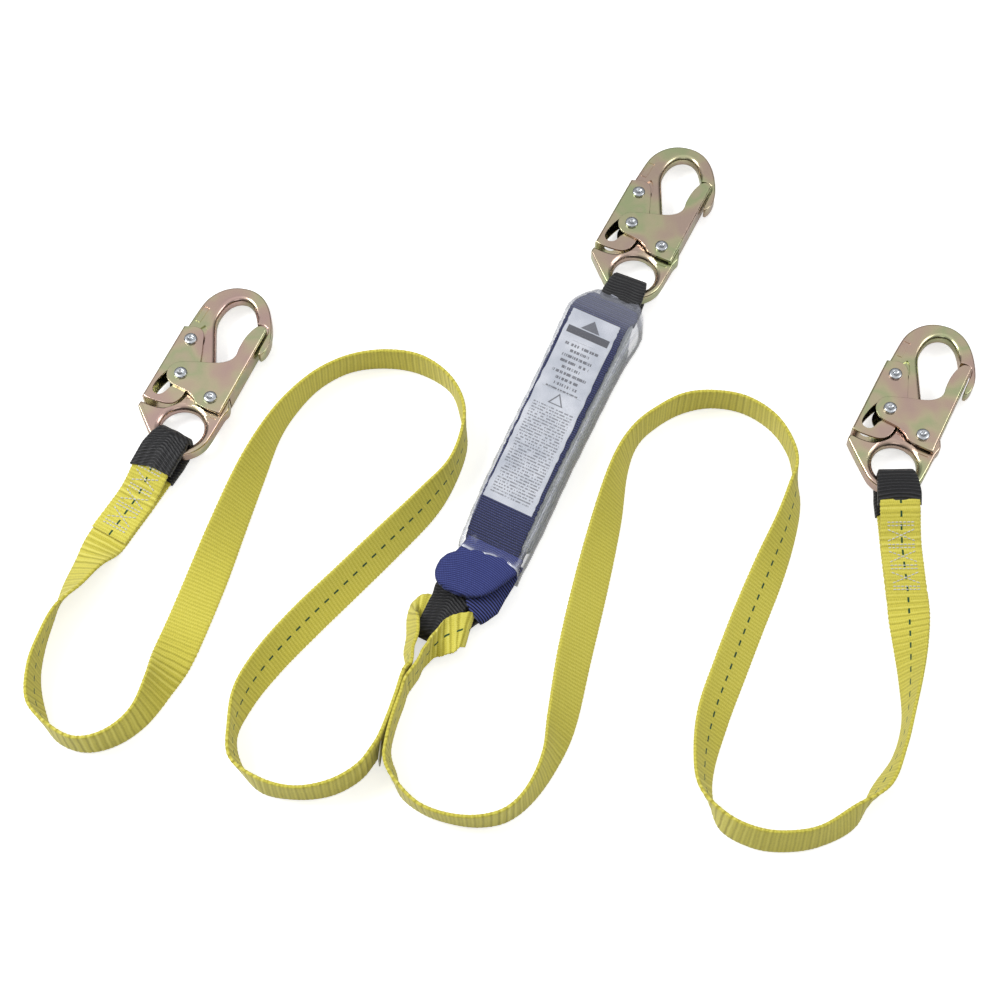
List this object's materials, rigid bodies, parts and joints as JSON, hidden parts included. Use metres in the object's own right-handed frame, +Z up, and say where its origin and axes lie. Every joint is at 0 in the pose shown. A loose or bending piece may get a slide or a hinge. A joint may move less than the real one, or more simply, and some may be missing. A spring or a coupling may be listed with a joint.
{
  "type": "shock absorbing lanyard",
  "caption": "Forked webbing fall-arrest lanyard with a covered tear-webbing energy absorber and self-locking snap hooks.",
  "frame": {"origin": "centre of the bounding box of everything but the free legs, on the floor it lies on", "axes": "+Z up from the floor; +X from the left hook to the right hook; +Y towards the top hook, away from the viewer"},
  "size_m": [0.5816, 0.4935, 0.0254],
  "materials": {
    "zinc_plated_steel": "yellow zinc dichromate plating, slightly iridescent",
    "rivet_steel": "silver zinc, satin",
    "spring_steel": "drawn wire",
    "yellow_webbing": "ribbed polyester webbing with a dashed green tracer",
    "navy_webbing": "ribbed polyester webbing",
    "tear_webbing": "pale woven tear webbing",
    "black_sleeve": "woven wear tube, cross ribbed",
    "clear_vinyl": "clear glossy vinyl",
    "label_card": "printed label stock"
  },
  "bodies": {
    "lanyard": {"choke_loop_sleeve": "black_sleeve", "choke_loop_webbing": "navy_webbing", "clear_cover": "clear_vinyl", "inspection_tag": "label_card", "instruction_label": "label_card", "left_leg_webbing": "yellow_webbing", "left_wear_sleeve": "black_sleeve", "load_webbing": "navy_webbing", "lower_webbing_fold": "navy_webbing", "right_leg_webbing": "yellow_webbing", "right_wear_sleeve": "black_sleeve", "tear_webbing": "tear_webbing", "top_wear_sleeve": "black_sleeve", "upper_webbing_fold": "navy_webbing"},
    "left_hook": {"left_hook_body": "zinc_plated_steel", "left_gate_rivet": "rivet_steel", "left_lever_rivet": "rivet_steel", "left_gate_spring": "spring_steel", "left_lever_spring": "spring_steel"},
    "left_keeper": {"left_gate": "zinc_plated_steel", "left_latch_pin": "rivet_steel"},
    "left_lock": {"left_lock_lever": "zinc_plated_steel"},
    "top_hook": {"top_hook_body": "zinc_plated_steel", "top_gate_rivet": "rivet_steel", "top_lever_rivet": "rivet_steel", "top_gate_spring": "spring_steel", "top_lever_spring": "spring_steel"},
    "top_keeper": {"top_gate": "zinc_plated_steel", "top_latch_pin": "rivet_steel"},
    "top_lock": {"top_lock_lever": "zinc_plated_steel"},
    "right_hook": {"right_hook_body": "zinc_plated_steel", "right_gate_rivet": "rivet_steel", "right_lever_rivet": "rivet_steel", "right_gate_spring": "spring_steel", "right_lever_spring": "spring_steel"},
    "right_keeper": {"right_gate": "zinc_plated_steel", "right_latch_pin": "rivet_steel"},
    "right_lock": {"right_lock_lever": "zinc_plated_steel"}
  },
  "joints": [
    {"name": "left_hook_swing", "type": "hinge", "parent": "lanyard", "child": "left_hook", "pos_m": [-0.23791, -0.03424, 0.0099], "axis": [0, 0, 1], "range_deg": [-18, 30]},
    {"name": "left_gate_hinge", "type": "hinge", "parent": "left_hook", "child": "left_keeper", "pos_m": [-0.22056, -0.01493, 0.0099], "axis": [0, 0, 1], "range_deg": [0, 28], "stiffness_Nm_per_rad": 0.4, "springref_deg": -34.38},
    {"name": "left_lock_hinge", "type": "hinge", "parent": "left_hook", "child": "left_lock", "pos_m": [-0.23642, 0.02972, 0.0099], "axis": [0, 0, 1], "range_deg": [0, 10], "stiffness_Nm_per_rad": 0.2, "springref_deg": -34.38},
    {"name": "top_hook_swing", "type": "hinge", "parent": "lanyard", "child": "top_hook", "pos_m": [0.05067, 0.08253, 0.0099], "axis": [0, 0, 1], "range_deg": [-30, 30]},
    {"name": "top_gate_hinge", "type": "hinge", "parent": "top_hook", "child": "top_keeper", "pos_m": [0.06904, 0.10087, 0.0099], "axis": [0, 0, 1], "range_deg": [0, 28], "stiffness_Nm_per_rad": 0.4, "springref_deg": -34.38},
    {"name": "top_lock_hinge", "type": "hinge", "parent": "top_hook", "child": "top_lock", "pos_m": [0.05562, 0.14631, 0.0099], "axis": [0, 0, 1], "range_deg": [0, 10], "stiffness_Nm_per_rad": 0.2, "springref_deg": -34.38},
    {"name": "right_hook_swing", "type": "hinge", "parent": "lanyard", "child": "right_hook", "pos_m": [0.20845, -0.06035, 0.0099], "axis": [0, 0, 1], "range_deg": [-30, 30]},
    {"name": "right_gate_hinge", "type": "hinge", "parent": "right_hook", "child": "right_keeper", "pos_m": [0.22714, -0.04233, 0.0099], "axis": [0, 0, 1], "range_deg": [0, 28], "stiffness_Nm_per_rad": 0.4, "springref_deg": -34.38},
    {"name": "right_lock_hinge", "type": "hinge", "parent": "right_hook", "child": "right_lock", "pos_m": [0.21451, 0.00334, 0.0099], "axis": [0, 0, 1], "range_deg": [0, 10], "stiffness_Nm_per_rad": 0.2, "springref_deg": -34.38}
  ],
  "couplings": [
    {"joint": "left_lock_hinge", "follows": "left_gate_hinge", "ratio": 0.35},
    {"joint": "top_lock_hinge", "follows": "top_gate_hinge", "ratio": 0.35},
    {"joint": "right_lock_hinge", "follows": "right_gate_hinge", "ratio": 0.35}
  ]
}
